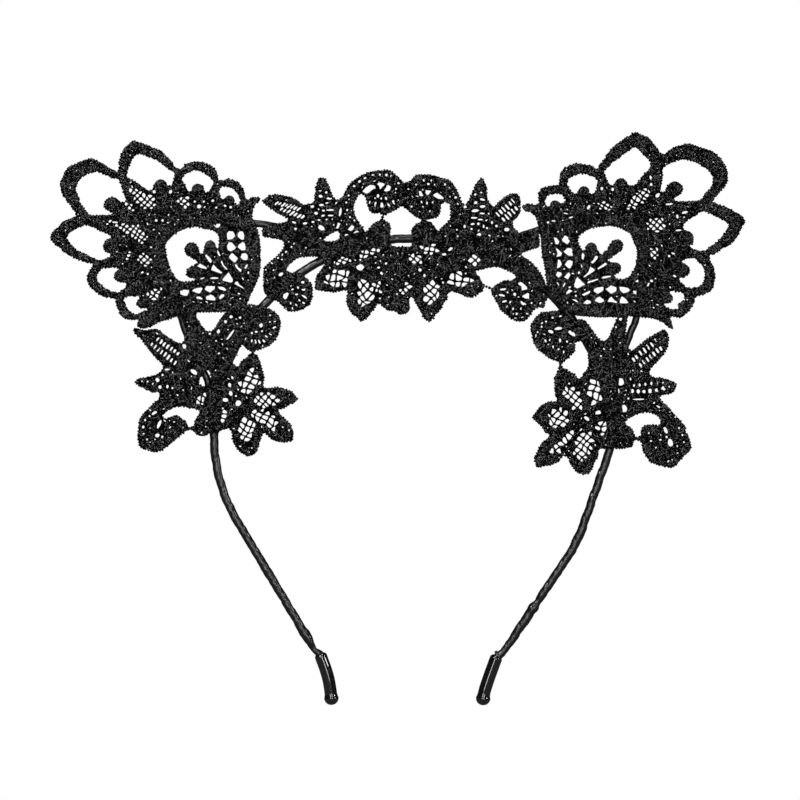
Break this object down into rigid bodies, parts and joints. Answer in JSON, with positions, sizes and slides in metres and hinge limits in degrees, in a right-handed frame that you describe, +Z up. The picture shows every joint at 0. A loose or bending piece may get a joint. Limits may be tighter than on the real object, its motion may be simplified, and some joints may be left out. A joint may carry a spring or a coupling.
{
  "type": "cat ears headband",
  "caption": "Thin ribbon-wrapped wire headband with two cat ears and a spread of dark embroidered lace flowers sewn over its front.",
  "frame": {"origin": "underside of the band at the top of its crown, where it rests on the hair", "axes": "+Z up as worn, -Y the wearer's front and the side the lace faces, +X to the right seen from the front"},
  "size_m": [0.2227, 0.0082, 0.1856],
  "materials": {
    "wire": "satin",
    "ribbon": "satin",
    "caps": "gloss",
    "lace": "matte",
    "thread": "satin"
  },
  "bodies": {
    "band": {"crown_wire": "wire", "crown_ribbon": "ribbon", "left_ear_wire": "wire", "right_ear_wire": "wire", "left_ear_ribbon": "ribbon", "right_ear_ribbon": "ribbon", "left_inner_binding": "thread", "left_outer_binding": "thread", "right_inner_binding": "thread", "right_outer_binding": "thread", "left_ear_lace": "lace", "right_ear_lace": "lace", "crown_lace": "lace", "left_side_lace": "lace", "right_side_lace": "lace", "left_ear_stitches": "thread", "right_ear_stitches": "thread", "crown_stitches": "thread", "left_side_stitches": "thread", "right_side_stitches": "thread"},
    "left_arm": {"left_arm_wire": "wire", "left_arm_ribbon": "ribbon", "left_end_cap": "caps"},
    "right_arm": {"right_arm_wire": "wire", "right_arm_ribbon": "ribbon", "right_end_cap": "caps"}
  },
  "joints": [
    {"name": "left_arm_flex", "type": "hinge", "parent": "band", "child": "left_arm", "pos_m": [-0.0637, 0, -0.06225], "axis": [0, 1, 0], "range_deg": [-5, 25], "stiffness_Nm_per_rad": 0.36},
    {"name": "right_arm_flex", "type": "hinge", "parent": "band", "child": "right_arm", "pos_m": [0.0637, 0, -0.06225], "axis": [0, -1, 0], "range_deg": [-5, 25], "stiffness_Nm_per_rad": 0.36}
  ]
}
